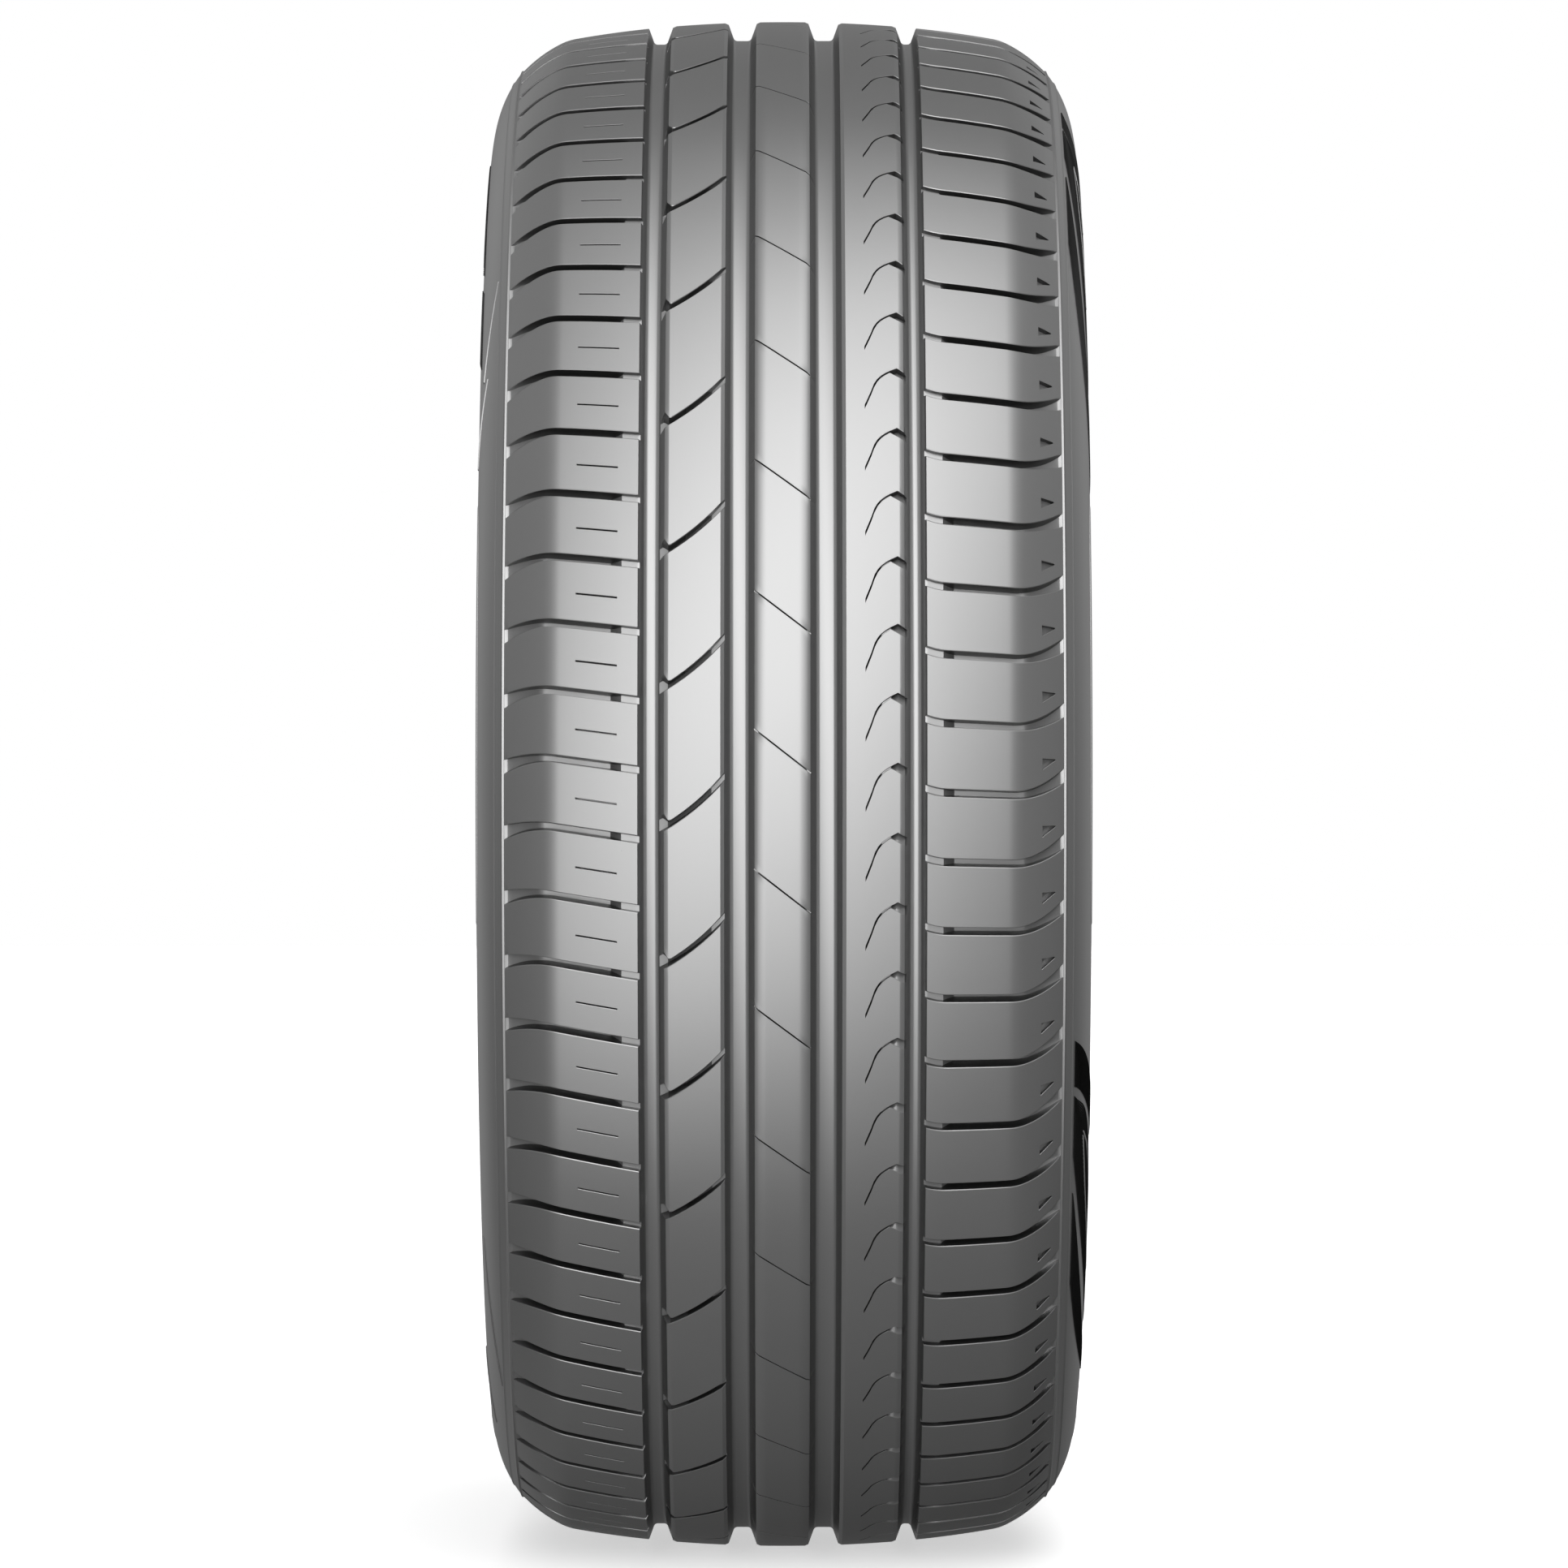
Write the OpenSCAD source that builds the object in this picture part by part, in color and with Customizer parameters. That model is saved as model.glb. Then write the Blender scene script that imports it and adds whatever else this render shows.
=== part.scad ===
// Radial tyre for a family car, standing upright on its tread.
// The wheel centre is the origin, the tyre spins about Y and Z points up.
// The tyre is one moulding, so it is one solid: a revolved section with the tread pattern cut into it.
// The pattern is directionless and asymmetric: -Y is the inside of the car's wheel and +Y the outside.
// Every size is in millimetres.

/* [Section] */
// diameter over the tread
outer_diameter = 653.2; // [640:0.1:670]
// width over the sidewalls at their widest
section_width = 246; // [240:0.5:252]
// diameter of the two seats that grip the rim
bead_seat_diameter = 460; // [456:0.1:464]
// how far each flange of the rim, against which a bead sits, lies inside the widest point
flange_inset = 15.05; // [13:0.05:17]
// length of each bead seat along the axle
bead_base = 19.4; // [16:0.1:22]
// height of the widest point above the bead seat
widest_height = 43; // [38:0.5:48]
// rubber and cord between the liner and the floor of the main grooves
casing_thickness = 7.8; // [6:0.1:10]
// wall thickness at the widest point
sidewall_thickness = 8.5; // [6:0.1:11]
// height of the rim protector above the bead seat
protector_height = 20; // [17:0.5:23]
// how far the rim protector stands out of the wall
protector_reach = 1.8; // [1:0.1:3]

/* [Crown] */
// how far each edge of the tread lies inside the widest point of the sidewall
tread_inset = 12.1; // [10:0.1:14]
// width of each shoulder, from the tread's flat part out to its edge
shoulder_width = 22.3; // [20:0.1:24]
// width of the middle that has the larger crown radius
middle_width = 90; // [70:1:110]
// crown radius in the middle
middle_radius = 600; // [500:5:800]
// crown radius towards the shoulders
outer_radius = 450; // [400:5:600]
// radius of the bend between flat part and shoulder
bend_radius = 24.5; // [18:0.5:30]
// slope at the end of that bend, in degrees
bend_angle = 27; // [22:0.5:32]
// radius of the shoulder's long curve
shoulder_radius = 58; // [54:0.5:70]
// width of the ledge that the mould leaves at each edge of the tread
ledge_width = 0.8; // [0.5:0.1:1.5]

/* [Ribs and main grooves] */
// width of the middle rib
middle_rib = 19; // [16:0.1:22]
// how far the middle rib sits off the tyre's centre plane, towards the outside
middle_rib_shift = -0.6; // [-3:0.1:3]
// width of the second rib, on the inside
inside_rib = 20.7; // [18:0.1:23]
// width of the fourth rib, on the outside
outside_rib = 21.5; // [19:0.1:24]
// opening of the main groove between inside shoulder and second rib
groove_1 = 12; // [10:0.1:14]
// opening of the main groove between second and middle rib
groove_2 = 15; // [13:0.1:17]
// opening of the main groove between middle and fourth rib
groove_3 = 15.7; // [13:0.1:18]
// opening of the main groove between fourth rib and outside shoulder
groove_4 = 10.4; // [9:0.1:12]
// depth of the two wide main grooves
wide_depth = 7.8; // [6.5:0.1:8.5]
// depth of the two narrow main grooves
narrow_depth = 7.3; // [6:0.1:8]
// draft of the main groove walls, in degrees
wall_draft = 20; // [10:1:22]
// softening where groove wall meets groove floor
floor_round = 1.6; // [0.8:0.1:2]
// width of the bevel along the edges of the three inner ribs
bevel_width = 1.5; // [0.8:0.1:2]
// height of that bevel
bevel_height = 0.8; // [0.5:0.1:1.2]

/* [Shoulder grooves] */
// times that the full pattern repeats round the tyre
pitches = 37; // [30:1:40]
// shoulder grooves and hooked sipes in each repeat
shoulder_repeats = 2; // [1:1:2]
// width of a shoulder groove on the flat part
slot_width = 3; // [2:0.1:4]
// extra width of a shoulder groove at the tread's edge
slot_flare = 2.9; // [1:0.1:4]
// depth of a shoulder groove on the flat part
slot_depth = 6.2; // [4.5:0.1:7]
// depth over the tie bar next to the main groove
tie_bar_depth = 1.8; // [1:0.1:3]
// length of the tie bar
tie_bar_length = 6.4; // [4:0.1:9]
// length of the ramp from tie bar to groove floor
ramp_length = 4.3; // [3:0.1:6]
// length of the flat step that ends a groove at the tread's edge
end_step = 1.4; // [0.8:0.1:2.5]
// lean of the inside shoulder grooves, in degrees
inside_lean = -8.1; // [-12:0.1:0]
// how far the inside grooves bend back at the tread's edge
inside_bend = 6; // [3:0.1:8]
// lean of the outside shoulder grooves, in degrees
outside_lean = 2.2; // [0:0.1:6]
// how far the outside grooves bend back at the tread's edge
outside_bend = 9; // [5:0.1:11]
// how far the outside grooves turn at the main groove
outside_hook = 1.3; // [0:0.1:2]

/* [Slots and sipes] */
// width of the long curved slot across the second rib
rib_slot_width = 2.1; // [1.5:0.1:3]
// curve radius of that slot
rib_slot_radius = 96; // [80:1:140]
// depth of that slot at its inside end
rib_slot_deep = 5.6; // [4:0.1:6.5]
// depth of that slot at its middle-rib end
rib_slot_shallow = 1.7; // [1:0.1:3]
// rounding of the sharp block corner at the slot's mouth
corner_round = 1.6; // [0.8:0.1:2.5]
// width of the sipes
sipe_width = 0.5; // [0.4:0.1:0.8]
// depth of the sipes in the middle rib
sipe_depth = 5.8; // [3:0.1:6.5]
// angle of the sipe across the middle rib, in degrees
middle_sipe_angle = 38; // [30:1:45]
// depth of the hooked sipes and of the notches that they open into
notch_depth = 3; // [2:0.1:4]

/* [Hidden] */
$fn = 192;

crown_top = outer_diameter / 2;
seat_radius = bead_seat_diameter / 2;
half_section = section_width / 2;
half_rim = half_section - flange_inset;
half_tread = half_section - tread_inset;
half_flat = half_tread - shoulder_width;
half_middle = middle_width / 2;
widest_radius = seat_radius + widest_height;
pitch_angle = 360 / pitches;
clear = 5;            // how far a cutter reaches past the surface that it opens
turn_per_mm = 180 / (PI * crown_top);

// Edges of ribs and main grooves, from the inside shoulder to the outside shoulder.
middle_from = middle_rib_shift - middle_rib / 2;
middle_to = middle_rib_shift + middle_rib / 2;
second_to = middle_from - groove_2;
second_from = second_to - inside_rib;
inside_edge = second_from - groove_1;
fourth_from = middle_to + groove_3;
fourth_to = fourth_from + outside_rib;
outside_edge = fourth_to + groove_4;

// The crown is four arcs, each starting at the slope where the one before it ends.
slope_middle = asin(half_middle / middle_radius);
slope_flat = asin(sin(slope_middle) + (half_flat - half_middle) / outer_radius);
bend_to = half_flat + bend_radius * (sin(bend_angle) - sin(slope_flat));
drop_middle = arc_drop(middle_radius, 0, slope_middle);
drop_flat = drop_middle + arc_drop(outer_radius, slope_middle, slope_flat);
drop_bend = drop_flat + arc_drop(bend_radius, slope_flat, bend_angle);

function arc_drop(radius, from, to) = radius * (cos(from) - cos(to));
function drop_along(radius, slope, start, w) =
    arc_drop(radius, slope, asin(sin(slope) + (w - start) / radius));
function crown_drop(w) =
    w <= half_middle ? drop_along(middle_radius, 0, 0, w) :
    w <= half_flat ? drop_middle + drop_along(outer_radius, slope_middle, half_middle, w) :
    w <= bend_to ? drop_flat + drop_along(bend_radius, slope_flat, half_flat, w) :
    drop_bend + drop_along(shoulder_radius, bend_angle, bend_to, w);
function crown_at(w) = crown_top - crown_drop(abs(w));
function steps(from, to, count) = [for (i = [0:count - 1]) from + (to - from) * i / count];
function mirrored(points) = [for (p = points) [p[0], -p[1]]];
function backwards(points) = [for (i = [len(points) - 1:-1:0]) points[i]];
function without_first(points) = [for (i = [1:len(points) - 1]) points[i]];
function without_last(points) = [for (i = [0:len(points) - 2]) points[i]];

// Sidewalls: arcs that stand upright at the widest point and end at a given place.
function upright_radius(inset, rise) = (inset * inset + rise * rise) / (2 * inset);
function upright_arc(widest, level, inset, rise, count) =
    let (radius = upright_radius(abs(inset), rise), end = asin(rise / radius))
    [for (i = [0:count]) let (a = end * i / count)
        [level + radius * sin(a), widest - radius * (1 - cos(a))]];

edge_radius = crown_at(half_tread);
ledge_to = half_tread + ledge_width;
wall_top = [edge_radius - 1.4, ledge_to + 0.6];
protector_top = seat_radius + protector_height + 3.5;
protector_base = seat_radius + protector_height - 6;
wall_at_protector = half_section - 4.2;
flange_height = 11;
heel_round = 6;
liner_half = half_section - sidewall_thickness;
liner_top = crown_top - wide_depth - casing_thickness;
liner_round = liner_top - crown_drop(half_flat) - widest_radius;
liner_corner = liner_half - liner_round;

// One half of the section, from the crown out and down to the bead. The crown's corners lie over
// the main grooves at the given distances, so that each rib is a single smooth band.
function outer_half(wide_groove, narrow_groove) = concat(
    [[crown_top, wide_groove]],
    [for (w = concat([narrow_groove, (narrow_groove + half_flat) / 2, half_flat],
                     steps(bend_to, half_tread, 2)))
        [crown_at(w), w]],
    [[edge_radius, half_tread], [edge_radius, ledge_to]],
    backwards(upright_arc(half_section, widest_radius,
        half_section - wall_top[1], wall_top[0] - widest_radius, 7)),
    [for (p = without_first(upright_arc(half_section, 0, half_section - wall_at_protector,
                                        widest_radius - protector_top, 4)))
        [widest_radius - p[0], p[1]]],
    [[protector_top - 1.6, wall_at_protector + protector_reach],
     [protector_base + 3, wall_at_protector + protector_reach],
     [protector_base, wall_at_protector - 1.5],
     [protector_base - 2, half_rim + 4],
     [seat_radius + flange_height, half_rim + 0.6]],
    [for (i = [0:4]) let (a = 90 * i / 4)
        [seat_radius + heel_round * (1 - sin(a)), half_rim - heel_round * (1 - cos(a))]]);
// The inside, from the bead toe up the wall to the middle of the liner.
function liner_half_points() = concat(
    [[seat_radius, half_rim - bead_base],
     [seat_radius + 1.5, half_rim - bead_base - 0.5],
     [seat_radius + protector_height - 2, half_rim - 8]],
    [for (p = backwards(upright_arc(liner_half, 0, liner_half - half_rim + 6,
                                    widest_height - protector_height, 4)))
        [widest_radius - p[0], p[1]]],
    [for (i = [1:6]) let (a = 90 * i / 6)
        [widest_radius + liner_round * sin(a), liner_corner + liner_round * cos(a)]],
    [for (i = [1:4]) let (w = liner_corner * (1 - i / 4)) [liner_top - crown_drop(w), w]]);

function section_points() = let (
        right = outer_half((middle_to + fourth_from) / 2, (fourth_to + outside_edge) / 2),
        left = outer_half(-(second_to + middle_from) / 2, -(inside_edge + second_from) / 2),
        liner = liner_half_points())
    concat(right, liner, mirrored(backwards(without_last(liner))), mirrored(backwards(left)));

// A corner softened with three points, t along each arm.
function unit(v) = v / norm(v);
function soft(a, c, b, t) =
    let (p = unit(a - c) * t, q = unit(b - c) * t) [c + p, c + (p + q) * 0.2, c + q];

// Main groove from w = from to w = to, with a bevel where asked.
module main_groove(from, to, depth, bevel_from, bevel_to) {
    floor_level = crown_at((from + to) / 2) - depth;
    from_top = crown_at(from) - (bevel_from ? bevel_height : 0);
    to_top = crown_at(to) - (bevel_to ? bevel_height : 0);
    from_wall = from + (bevel_from ? bevel_width : 0);
    to_wall = to - (bevel_to ? bevel_width : 0);
    lean = tan(wall_draft);
    from_foot = [floor_level, from_wall + (from_top - floor_level) * lean];
    to_foot = [floor_level, to_wall - (to_top - floor_level) * lean];
    bevel_rise = bevel_height / bevel_width;
    polygon(concat(
        bevel_from ? [[crown_at(from) + bevel_rise, from - 1], [from_top, from_wall]]
                   : [[from_top + 1 / lean, from_wall - 1]],
        soft([from_top, from_wall], from_foot, to_foot, floor_round),
        soft(from_foot, to_foot, [to_top, to_wall], floor_round),
        bevel_to ? [[to_top, to_wall], [crown_at(to) + bevel_rise, to + 1]]
                 : [[to_top + 1 / lean, to_wall + 1]],
        [[crown_top + clear, to + 1], [crown_top + clear, from - 1]]));
}

module section() {
    difference() {
        polygon(section_points());
        main_groove(inside_edge, second_from, narrow_depth, false, true);
        main_groove(second_to, middle_from, wide_depth, true, true);
        main_groove(middle_to, fourth_from, wide_depth, true, true);
        main_groove(fourth_to, outside_edge, narrow_depth, true, false);
    }
}

// Cutters. A plan is drawn flat as [distance round the tread, w] and stands up along the radius.
module stand_up(base) {
    rotate([90, 0, 90]) translate([0, 0, base]) linear_extrude(crown_top + clear - base) children();
}
module repeat(count, at) {
    for (i = [0:count - 1]) rotate([0, 0, at * turn_per_mm + i * 360 / count]) children();
}
// A ring that limits how deep a cutter goes: floor is a list of [w, radius].
module floor_ring(floor) {
    last = len(floor) - 1;
    rotate_extrude() polygon(concat([for (p = floor) [p[1], p[0]]],
        [[crown_top + 2 * clear, floor[last][0]], [crown_top + 2 * clear, floor[0][0]]]));
}

// Centreline and width of a shoulder groove at u, the distance from the centre plane.
bend_start = half_flat + 2;
function past(u, start, end) = max(0, (u - start) / (end - start));
function slot_line(u, edge, lean, bend, hook) =
    tan(lean) * (u - edge) - bend * sign(lean) * pow(past(u, bend_start, half_tread), 2)
    - hook * pow(past(u, edge + 8, edge), 2);
function slot_half(u) = (slot_width + slot_flare * pow(past(u, bend_start, half_tread), 1.8)) / 2;
function slot_plan(edge, lean, bend, hook) =
    let (us = concat([edge - 4], hook > 0 ? [edge + 4] : [],
                     steps(bend_start, half_tread, 2), [half_tread]))
    concat([for (u = us) [slot_line(u, edge, lean, bend, hook) - slot_half(u), u]],
           [for (u = backwards(us)) [slot_line(u, edge, lean, bend, hook) + slot_half(u), u]]);
function slot_floor(edge) = let (ramp_from = edge + tie_bar_length, ramp_to = ramp_from + ramp_length,
        flat_floor = crown_at(half_flat) - slot_depth, dip = bend_to + 0.5)
    [[edge - 3, crown_at(edge) - tie_bar_depth],
     [ramp_from, crown_at(ramp_from) - tie_bar_depth],
     [ramp_to, crown_at(ramp_to) - slot_depth],
     [dip, flat_floor - (dip - half_flat) * tan(slope_flat)],
     [half_tread - end_step, edge_radius + 0.1],
     [half_tread, edge_radius + 0.1]];

module shoulder_grooves(side, edge, lean, bend, hook, at) {
    floor = [for (p = slot_floor(edge)) [side * p[0], p[1]]];
    plan = [for (p = slot_plan(edge, lean, bend, hook)) [p[0], side * p[1]]];
    intersection() {
        floor_ring(floor);
        repeat(pitches * shoulder_repeats, at) stand_up(edge_radius - clear) polygon(plan);
    }
}

// The long curved slot across the second rib. Its centreline is an arc from the inside main groove
// to the mouth on the next one, and the sharp corner of the block at its mouth is rounded off.
slot_from = second_from - 3.5;
slot_to = second_to + 2;
slot_start_angle = 29.5;
function arc_slot(w, offset) =
    let (start = rib_slot_radius * sin(slot_start_angle), r = rib_slot_radius + offset)
    [sqrt(r * r - pow(start + w - slot_from, 2)) - rib_slot_radius * cos(slot_start_angle), w];
module rib_slots(at) {
    half = rib_slot_width / 2;
    ws = concat(steps(slot_from, slot_to, 4), [slot_to]);
    corner = arc_slot(second_from, -half);
    along = unit(arc_slot(second_from + 1, -half) - corner);
    reach = corner_round * 1.6;
    ring = [[slot_from, crown_at(second_from) - rib_slot_deep],
            [slot_to, crown_at(second_to) - rib_slot_shallow]];
    intersection() {
        floor_ring(ring);
        repeat(pitches, at) stand_up(crown_top - wide_depth - 1) {
            polygon(concat([for (w = ws) arc_slot(w, -half)],
                           [for (w = backwards(ws)) arc_slot(w, half)]));
            polygon([corner + [0, -clear], corner + [-reach - 1.6, -clear],
                     corner + [-reach - 1.1, -1.2], corner + [-reach + 0.2, -0.15],
                     corner + [-reach * 0.35, reach * 0.15], corner + along * reach,
                     corner + along * reach + [half, 0], corner + [half, 0]]);
        }
    }
}

// Sipes straight across the middle rib.
module middle_sipes(at) {
    length = (middle_rib + 2 * bevel_width) / cos(middle_sipe_angle);
    repeat(pitches, at) stand_up(crown_top - sipe_depth)
        translate([0, middle_rib_shift]) rotate(-middle_sipe_angle)
            square([sipe_width, length], center = true);
}

// Hooked sipes in the fourth rib: each runs up from inside the rib and opens into a notch in its edge.
module hooked_sipes(at) {
    half = sipe_width / 2;
    tip = fourth_to - 4;
    repeat(pitches * shoulder_repeats, at) stand_up(crown_at(tip) - notch_depth) polygon([
        [16.7 - half, tip - 10 - half], [6.8 - half, tip - 6.3 - half], [2.6 - half, tip - 3.6 - half],
        [0, tip], [-1.5, tip + 2.8], [0.1, tip + 5.8], [0.1, tip + 8], [4.6, tip + 8],
        [2.4, tip + 4.2], [half, tip + half],
        [2.6 + half, tip - 3.6 + half], [6.8 + half, tip - 6.3 + half], [16.7 + half, tip - 10 + half]]);
}

module tyre() {
    color("dimgray") rotate([-90, 0, 0]) difference() {
        rotate_extrude() section();
        shoulder_grooves(-1, -inside_edge, inside_lean, inside_bend, 0, -5.6);
        shoulder_grooves(1, outside_edge, outside_lean, outside_bend, outside_hook, 3.3);
        rib_slots(18.5);
        middle_sipes(-13);
        hooked_sipes(-6.6);
    }
}

tyre();
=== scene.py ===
# %% [markdown]
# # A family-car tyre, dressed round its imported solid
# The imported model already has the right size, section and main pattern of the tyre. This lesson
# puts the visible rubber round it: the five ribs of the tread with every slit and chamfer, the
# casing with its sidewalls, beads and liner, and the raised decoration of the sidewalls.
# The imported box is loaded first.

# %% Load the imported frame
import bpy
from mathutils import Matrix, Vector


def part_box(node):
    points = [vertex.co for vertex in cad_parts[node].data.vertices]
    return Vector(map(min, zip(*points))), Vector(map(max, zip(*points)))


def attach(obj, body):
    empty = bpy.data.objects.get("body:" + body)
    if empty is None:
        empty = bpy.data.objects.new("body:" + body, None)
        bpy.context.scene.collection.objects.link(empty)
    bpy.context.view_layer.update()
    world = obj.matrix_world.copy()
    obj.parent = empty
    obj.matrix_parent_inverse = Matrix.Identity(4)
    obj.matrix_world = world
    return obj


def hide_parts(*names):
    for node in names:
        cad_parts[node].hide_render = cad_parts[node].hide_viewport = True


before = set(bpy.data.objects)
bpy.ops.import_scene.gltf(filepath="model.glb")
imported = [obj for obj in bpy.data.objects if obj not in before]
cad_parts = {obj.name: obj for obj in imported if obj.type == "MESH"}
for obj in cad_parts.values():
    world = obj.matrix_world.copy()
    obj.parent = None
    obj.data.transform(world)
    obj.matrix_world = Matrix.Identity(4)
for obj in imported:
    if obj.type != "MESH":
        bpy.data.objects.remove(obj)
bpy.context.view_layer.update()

# %% [markdown]
# Blender works in metres and a tyre drawing in millimetres, so all sizes below are millimetres and
# one factor turns them into metres when a mesh is made. The tyre spins about Y. A place on it is
# written as w, its distance from the centre plane, its radius, and an arc, the distance round the
# tread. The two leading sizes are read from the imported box, so the look always fits the solid.

# %% Leading sizes
import math

import bpy
import numpy as np
from mathutils import Vector

MM = 0.001
tyre_low, tyre_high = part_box("tyre")
crown_top = (tyre_high.z - tyre_low.z) / 2 / MM
half_section = (tyre_high.y - tyre_low.y) / 2 / MM
print(f"radius over the tread {crown_top:.1f} mm, half width {half_section:.1f} mm")

# %% [markdown]
# The camera comes early, because it decides what has to be right first. The photograph was taken
# from far away, straight at the tread, so a long lens stands level with the wheel centre. It looks
# along -X, with the outside of the tyre on the right.

# %% Camera
camera_data = bpy.data.cameras.new("camera")
camera_data.sensor_width = 36
camera_data.lens = 203.05
camera = bpy.data.objects.new("camera", camera_data)
camera.location = (3.805, 0, 0)
camera.rotation_euler = (math.radians(90), 0, math.radians(90))
bpy.context.scene.collection.objects.link(camera)
bpy.context.scene.camera = camera
print("camera", camera_data.lens, "mm at", tuple(camera.location))

# %% [markdown]
# The crown is the curve that a tread shows from side to side. It is four arcs in a row: a very
# large radius in the middle, a slightly smaller one up to the shoulder, a tight bend, and the long
# curve of the shoulder. Each arc starts with the slope that the one before it ended with, which
# is why no edge shows between them. Every other shape of the tread is measured from this curve.

# %% Crown curve
middle_radius, outer_radius, bend_radius, shoulder_radius = 600.0, 450.0, 24.5, 58.0
half_middle, half_flat, half_tread = 45.0, 88.6, 110.9
slope_middle = math.asin(half_middle / middle_radius)
slope_flat = math.asin(math.sin(slope_middle) + (half_flat - half_middle) / outer_radius)
slope_bend = math.radians(27)
bend_end = half_flat + bend_radius * (math.sin(slope_bend) - math.sin(slope_flat))


def arc_drop(radius, slope, run):
    """How far an arc falls over a run when it starts with a slope."""
    return radius * (math.cos(slope) - np.sqrt(1 - (math.sin(slope) + run / radius) ** 2))


def crown(w):
    """Radius of the tread's surface at w."""
    u = np.abs(w)
    arcs = ((middle_radius, 0, 0, half_middle),
            (outer_radius, slope_middle, half_middle, half_flat),
            (bend_radius, slope_flat, half_flat, bend_end),
            (shoulder_radius, slope_bend, bend_end, np.inf))
    return crown_top - sum(arc_drop(arc_radius, slope, np.clip(u, start, end) - start)
                           for arc_radius, slope, start, end in arcs)


edge_radius = float(crown(half_tread))
print(f"the tread's edge lies {crown_top - edge_radius:.1f} mm below its middle")

# %% [markdown]
# A tread could be cut out of a solid with hundreds of boolean cutters, but that is slow and leaves
# poor faces for smooth shading. A moulded tread repeats, so here each rib is woven like a carpet:
# stations run across the rib and rows run round the tyre. A cut is a handful of rows that dip
# below the surface. The rows follow the line of the cut, so its edges are always crisp.

# %% Weave a ring from rows and stations
sharp_angle = math.radians(24)


def weave(name, points, close_rows=True):
    """An object whose vertices are a grid: points[row, station] in millimetres."""
    rows, stations = points.shape[:2]
    index = np.arange(rows * stations).reshape(rows, stations)
    after = np.roll(index, -1, 0)
    quads = np.stack([index, after, np.roll(after, -1, 1), np.roll(index, -1, 1)], -1)
    if close_rows:
        faces = quads.reshape(-1, 4).tolist()
    else:
        faces = quads[:-1].reshape(-1, 4).tolist() + [index[0].tolist(), index[-1][::-1].tolist()]
    mesh = bpy.data.meshes.new(name)
    mesh.from_pydata((points.reshape(-1, 3) * MM).tolist(), [], faces)
    mesh.shade_smooth()
    mesh.set_sharp_from_angle(angle=sharp_angle)
    piece = bpy.data.objects.new(name, mesh)
    bpy.context.scene.collection.objects.link(piece)
    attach(piece, "root")
    print(name, len(mesh.vertices), "vertices", len(mesh.polygons), "faces")
    return piece


def place(w, radius, turn):
    """Points in the wheel's frame; turn is the angle round the axle, downwards in front."""
    w, radius, turn = np.broadcast_arrays(w, radius, turn)
    return np.stack([radius * np.cos(turn), w, -radius * np.sin(turn)], -1)


def tread_ring(name, w, radius, rows, repeats):
    """A rib: rows is a list of (arc, drop) over the stations, for one repeat of the pattern."""
    arc = np.array([row[0] for row in rows])
    drop = np.array([row[1] for row in rows])
    turns = np.arange(repeats) * 2 * math.pi / repeats
    turn = (arc[None] / crown_top + turns[:, None, None]).reshape(-1, len(w))
    return weave(name, place(w[None], np.tile(radius - drop, (repeats, 1)), turn))


# %% [markdown]
# Four main grooves run round the tyre and drain the water. Their walls lean so that the mould lets
# go, the three inner ribs have a bevel along each edge, and a small round joins wall and floor.
# The list of places below walks from the middle of a groove's floor up to the edge of a rib.

# %% Main grooves
inside_edge, outside_edge = -57.8, 56.5
second_rib, middle_rib, fourth_rib = (-45.8, -25.1), (-10.1, 8.9), (24.6, 46.1)
wall_lean = math.radians(20)
bevel, plain_lip, floor_round = (1.5, 0.65), (0.25, 0.3), 1.8
floor_angles = np.radians([90, 72, 55, 37, 20])
groove_middles = (-52.1, -17.5, 16.7, 51.6)
groove_depths = (7.3, 7.8, 7.8, 7.3)
groove_floors = [float(crown(m)) - d for m, d in zip(groove_middles, groove_depths)]
undertread = 1.5


def groove_wall(edge, groove, lip, at_depths=()):
    """Stations (w, radius) from the middle of a groove's floor up to the rib's edge."""
    away = math.copysign(1, groove_middles[groove] - edge)
    top = float(crown(edge))
    depth = top - groove_floors[groove]
    foot = lip[0] + (depth - lip[1]) * math.tan(wall_lean)
    centre = foot + floor_round * math.tan((math.pi / 2 - wall_lean) / 2)
    points = [(abs(groove_middles[groove] - edge), depth)]
    for angle in floor_angles:
        points.append((centre - floor_round * math.cos(angle),
                       depth - floor_round * (1 - math.sin(angle))))
    for d in sorted(at_depths, reverse=True):
        if lip[1] + 0.1 < d < points[-1][1] - 0.1:
            points.append((lip[0] + (d - lip[1]) * math.tan(wall_lean), d))
    points += [lip, (0, 0)]
    return [(edge + away * t, top - d) for t, d in points]


def across(*spans):
    """Stations from a list of (from, to, steps), each span with its own spacing."""
    return np.concatenate([np.linspace(a, b, n, endpoint=False) for a, b, n in spans])


def pair(at):
    """Two stations so close together that what lies between them is an upright wall."""
    return [at - 0.02, at + 0.02]


print("floors of the main grooves at radius", [round(f, 2) for f in groove_floors])

# %% [markdown]
# A cut is written as rows. Two rows soften its upper edge, two lie along its floor, and two soften
# its lower edge. Where the cut runs out into a main groove the wall there is already lower than the
# crown, so the floor rows meet the wall by themselves. Where a cut has no business its floor is
# set above the crown by no_cut. Between two cuts the block's own rows are spread evenly, which
# bends them gently from the line of one cut to the line of the next.

# %% Cuts and blocks
no_cut = 5.0


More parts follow.
